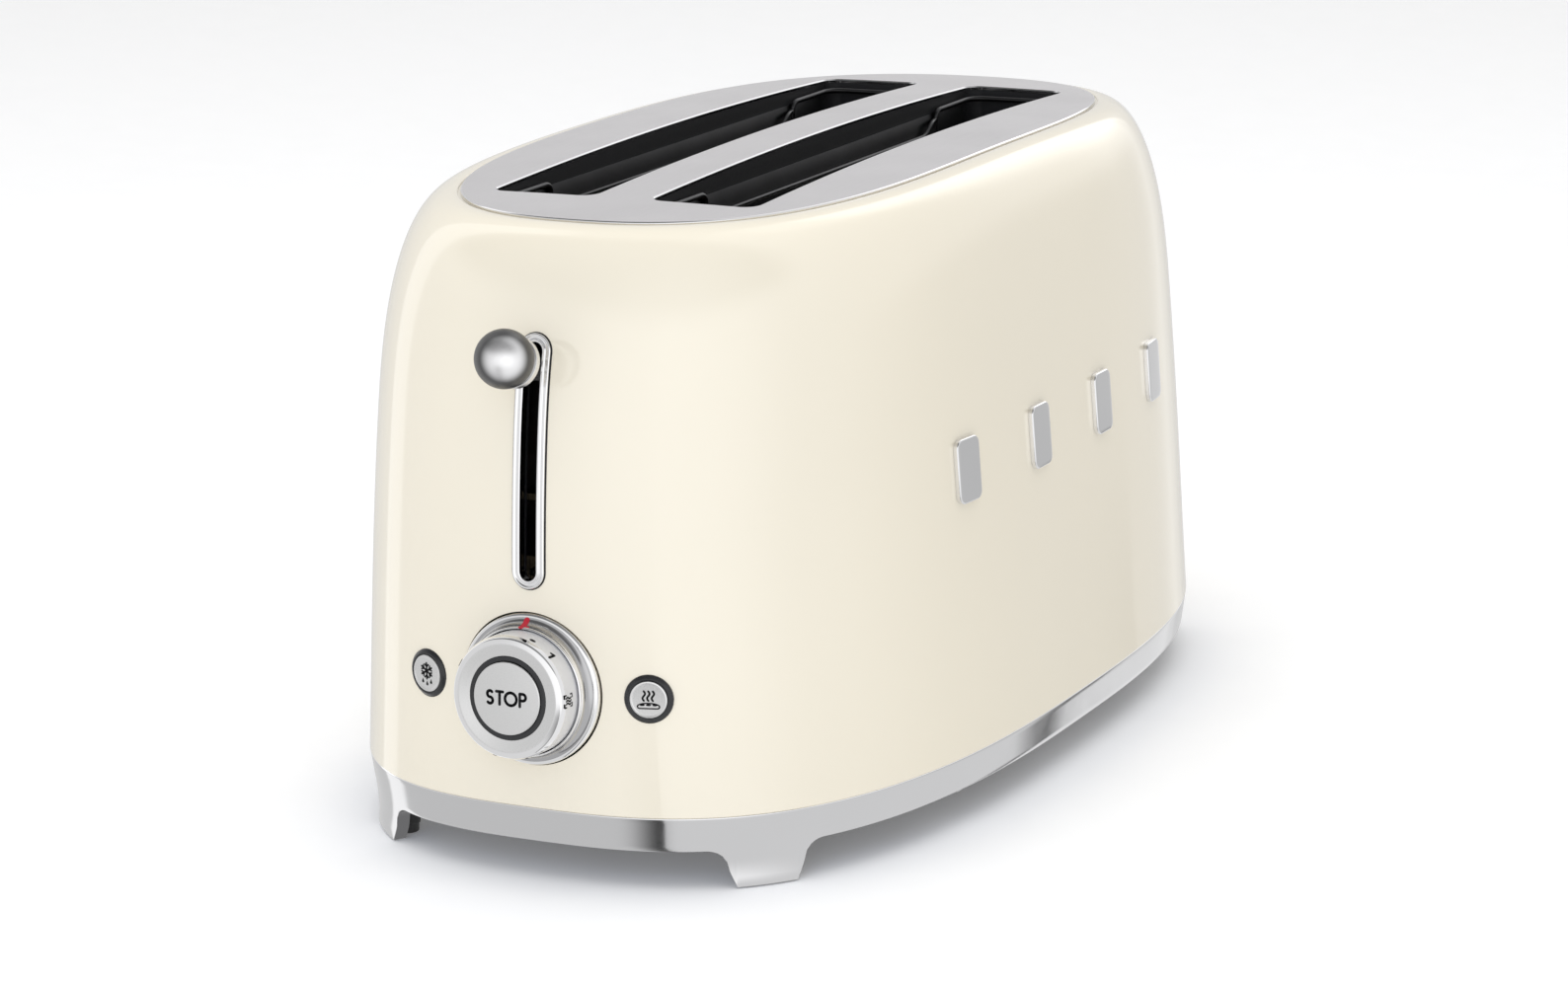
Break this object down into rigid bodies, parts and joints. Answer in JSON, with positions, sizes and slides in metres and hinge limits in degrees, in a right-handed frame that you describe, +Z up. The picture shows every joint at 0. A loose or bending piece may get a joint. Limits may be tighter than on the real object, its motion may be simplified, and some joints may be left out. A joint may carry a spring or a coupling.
{
  "type": "pop up toaster",
  "caption": "Long-slot pop-up toaster with a crowned gloss casing, brushed top plate, polished foot band, ball lever, browning dial, push buttons and slide-out crumb tray.",
  "frame": {"origin": "on the resting plane, under the middle of the object's box, lever ball to cord gland", "axes": "+Z up, -Y towards the lever and dial, +X towards the long side with the row of studs"},
  "size_m": [0.215, 0.413, 0.2078],
  "materials": {
    "enamel": "gloss",
    "brushed": "satin, brushed lengthwise",
    "chrome": "polished",
    "satin": "satin",
    "steel": "plain",
    "zinc_sheet": "zinc plated sheet",
    "wire_chrome": "polished wire",
    "black_metal": "satin black",
    "black_plastic": "matt",
    "dark_ring": "gloss",
    "rubber": "matt",
    "mica": "matt",
    "copper": "wound wire",
    "board": "solder resist",
    "white_plastic": "moulded",
    "ceramic": "matt",
    "wire": "glass sleeving"
  },
  "bodies": {
    "casing": {"body_shell": "enamel", "top_plate": "brushed", "base_ring": "chrome", "base_plate": "black_metal", "foot_pad_front_left": "rubber", "foot_pad_front_right": "rubber", "foot_pad_rear_left": "rubber", "foot_pad_rear_right": "rubber", "lever_slot_trim": "chrome", "lever_slot_guard": "black_plastic", "dial_bezel": "chrome", "stop_light_ring": "dark_ring", "defrost_ring": "dark_ring", "bagel_ring": "dark_ring", "side_studs": "chrome", "cord_gland": "rubber", "tray_rails": "zinc_sheet", "chassis_front": "zinc_sheet", "chassis_rear": "zinc_sheet", "reflector_left": "zinc_sheet", "reflector_right": "zinc_sheet", "centre_divider": "zinc_sheet", "slot_liner_left": "black_metal", "slot_liner_right": "black_metal", "element_outer_left": "mica", "element_inner_left": "mica", "element_inner_right": "mica", "element_outer_right": "mica", "guide_rods": "steel", "rod_brackets": "zinc_sheet", "magnet_core": "steel", "magnet_coil": "copper", "control_board": "board", "dial_encoder": "black_plastic", "tact_switches": "black_plastic", "terminal_block": "ceramic", "wiring_loom": "wire", "return_spring": "steel", "base_screws": "steel"},
    "carriage": {"lever_knob": "chrome", "lever_collar": "satin", "lever_arm": "steel", "carriage_bracket": "zinc_sheet", "carriage_bushes": "white_plastic", "keeper_plate": "steel", "bread_lifter_left": "zinc_sheet", "bread_lifter_right": "zinc_sheet"},
    "dial": {"dial_knob": "satin", "dial_rotor": "white_plastic"},
    "stop": {"stop_button": "satin"},
    "defrost": {"defrost_button": "satin"},
    "bagel": {"bagel_button": "satin"},
    "tray": {"crumb_tray": "brushed", "tray_handle": "chrome"},
    "guide_outer_left": {"bread_guide_outer_left": "wire_chrome"},
    "guide_inner_left": {"bread_guide_inner_left": "wire_chrome"},
    "guide_inner_right": {"bread_guide_inner_right": "wire_chrome"},
    "guide_outer_right": {"bread_guide_outer_right": "wire_chrome"}
  },
  "joints": [
    {"name": "carriage_slide", "type": "slide", "parent": "casing", "child": "carriage", "axis": [0, 0, 1], "range_m": [-0.06, 0], "stiffness_N_per_m": 60, "springref_m": 0.12, "deforming": ["return_spring"]},
    {"name": "dial_turn", "type": "hinge", "parent": "casing", "child": "dial", "pos_m": [0, -0.187, 0.0625], "axis": [0, -0.9984, 0.0558], "range_deg": [0, 270]},
    {"name": "stop_press", "type": "slide", "parent": "casing", "child": "stop", "axis": [0, 0.9984, -0.0558], "range_m": [0, 0.0012], "stiffness_N_per_m": 500, "springref_m": -0.002},
    {"name": "defrost_press", "type": "slide", "parent": "casing", "child": "defrost", "axis": [0.2924, 0.9563, 0], "range_m": [0, 0.0012], "stiffness_N_per_m": 500, "springref_m": -0.002},
    {"name": "bagel_press", "type": "slide", "parent": "casing", "child": "bagel", "axis": [-0.2924, 0.9563, 0], "range_m": [0, 0.0012], "stiffness_N_per_m": 500, "springref_m": -0.002},
    {"name": "tray_slide", "type": "slide", "parent": "casing", "child": "tray", "axis": [0, 1, 0], "range_m": [0, 0.335]},
    {"name": "guide_outer_left_slide", "type": "slide", "parent": "casing", "child": "guide_outer_left", "axis": [1, 0, 0], "range_m": [0, 0.0045]},
    {"name": "guide_inner_left_slide", "type": "slide", "parent": "casing", "child": "guide_inner_left", "axis": [-1, 0, 0], "range_m": [0, 0.0045]},
    {"name": "guide_inner_right_slide", "type": "slide", "parent": "casing", "child": "guide_inner_right", "axis": [1, 0, 0], "range_m": [0, 0.0045]},
    {"name": "guide_outer_right_slide", "type": "slide", "parent": "casing", "child": "guide_outer_right", "axis": [-1, 0, 0], "range_m": [0, 0.0045]}
  ],
  "couplings": [
    {"joint": "guide_outer_left_slide", "follows": "carriage_slide", "ratio": -0.075},
    {"joint": "guide_inner_left_slide", "follows": "carriage_slide", "ratio": -0.075},
    {"joint": "guide_inner_right_slide", "follows": "carriage_slide", "ratio": -0.075},
    {"joint": "guide_outer_right_slide", "follows": "carriage_slide", "ratio": -0.075}
  ]
}
